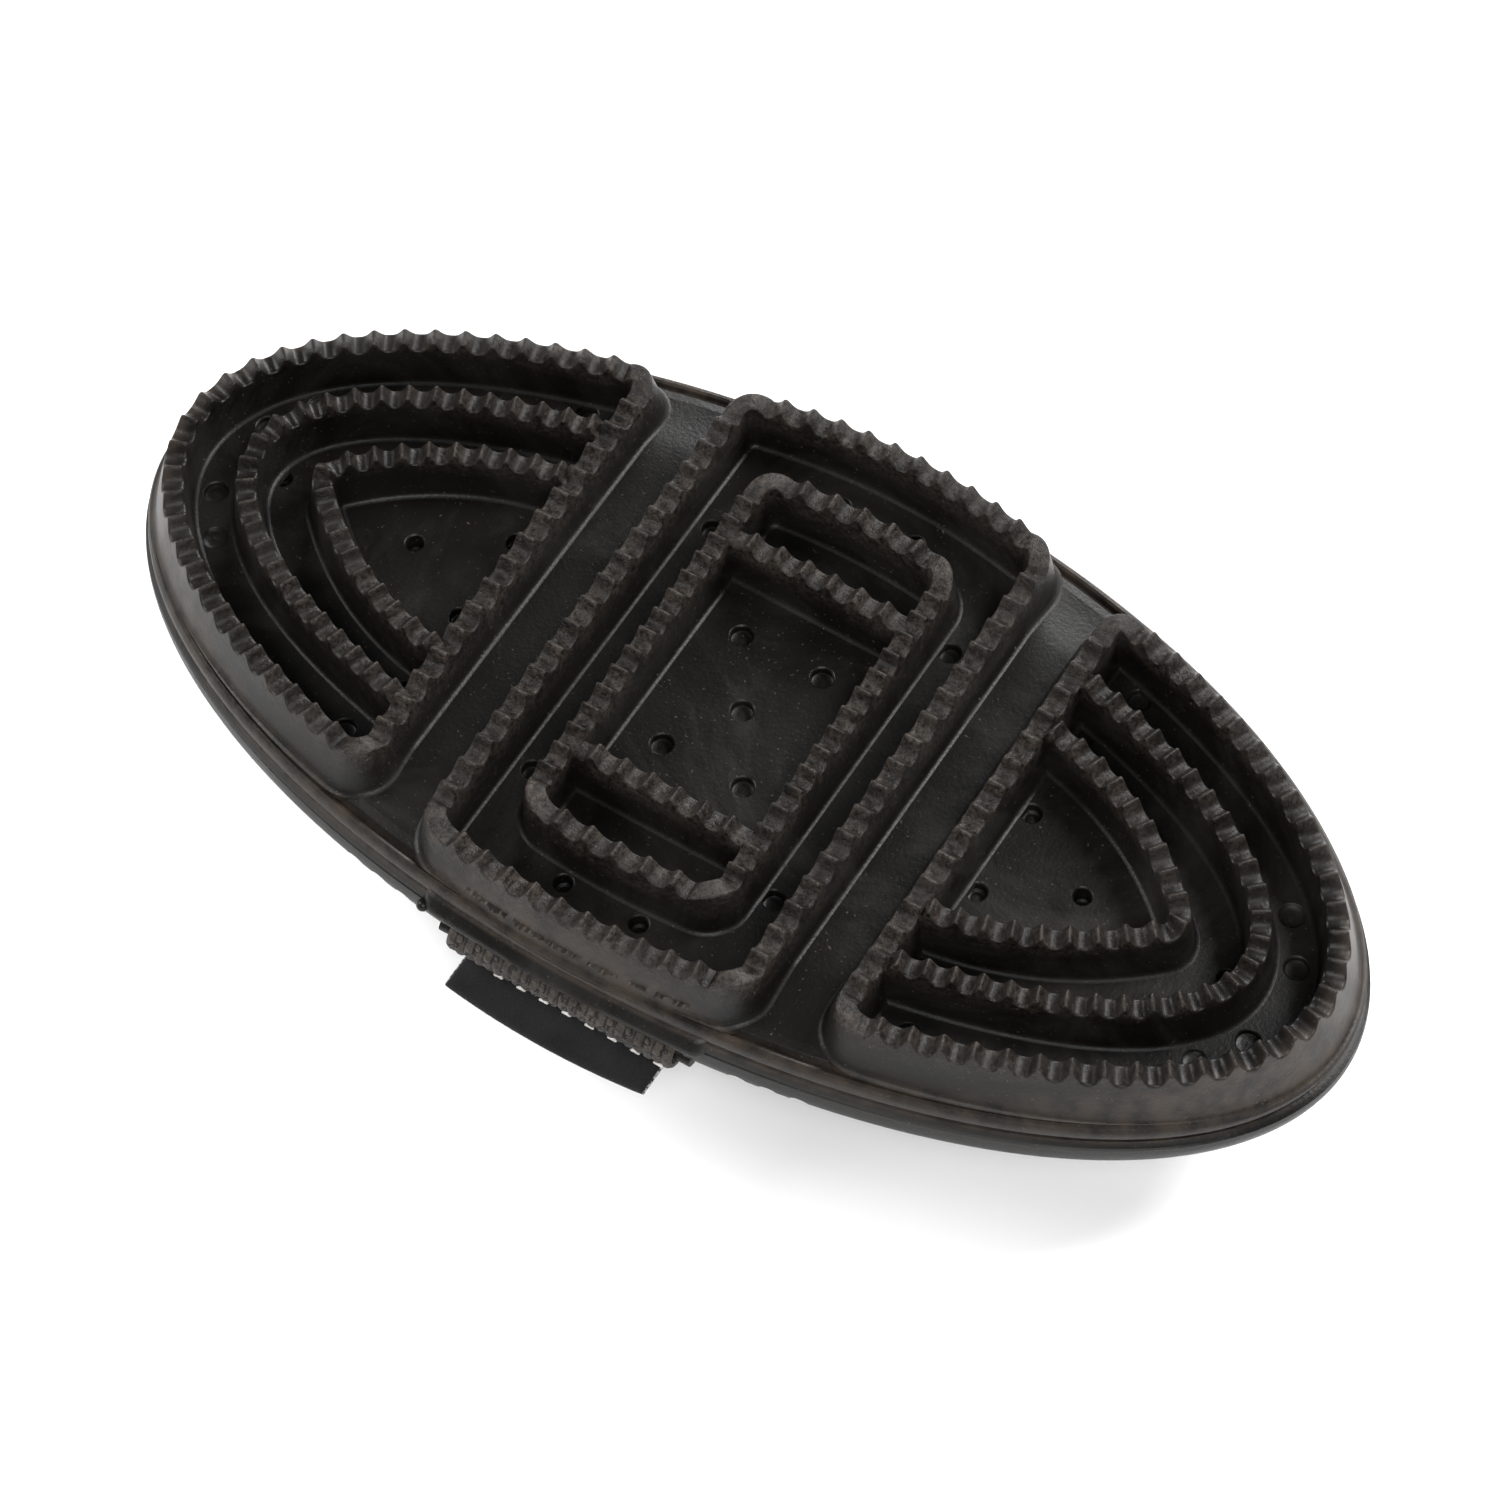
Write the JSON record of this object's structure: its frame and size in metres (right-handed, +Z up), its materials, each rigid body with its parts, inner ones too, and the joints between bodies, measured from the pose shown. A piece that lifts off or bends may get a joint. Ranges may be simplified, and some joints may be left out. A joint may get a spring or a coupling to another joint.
{
  "type": "rubber curry brush",
  "caption": "Oval rubber curry brush with nested toothed ridges on its face and an adjustable webbing hand strap across its back, closed by a hook-and-loop tail.",
  "frame": {"origin": "centre of the flat underside of the strap, on the surface the brush lies on", "axes": "+Z up through the teeth, X along the oval, -Y towards the side with the tape tab"},
  "size_m": [0.202, 0.1043, 0.0426],
  "materials": {
    "rubber": "satin",
    "webbing": "woven",
    "tape": "matt",
    "thread": "twisted"
  },
  "bodies": {
    "brush": {"rubber_pad": "rubber", "strap_webbing": "webbing", "loop_tape": "tape", "sewn_end_seam_lower_1": "thread", "sewn_end_seam_lower_2": "thread", "sewn_end_seam_upper_1": "thread", "sewn_end_seam_upper_2": "thread", "loop_tape_seam_1": "thread", "loop_tape_seam_2": "thread"},
    "tail": {"strap_tail": "webbing", "hook_tape": "tape"}
  },
  "joints": [
    {"name": "tail_peel", "type": "hinge", "parent": "brush", "child": "tail", "pos_m": [0, 0.04635, 0.0197], "axis": [1, 0, 0], "range_deg": [0, 120]}
  ]
}
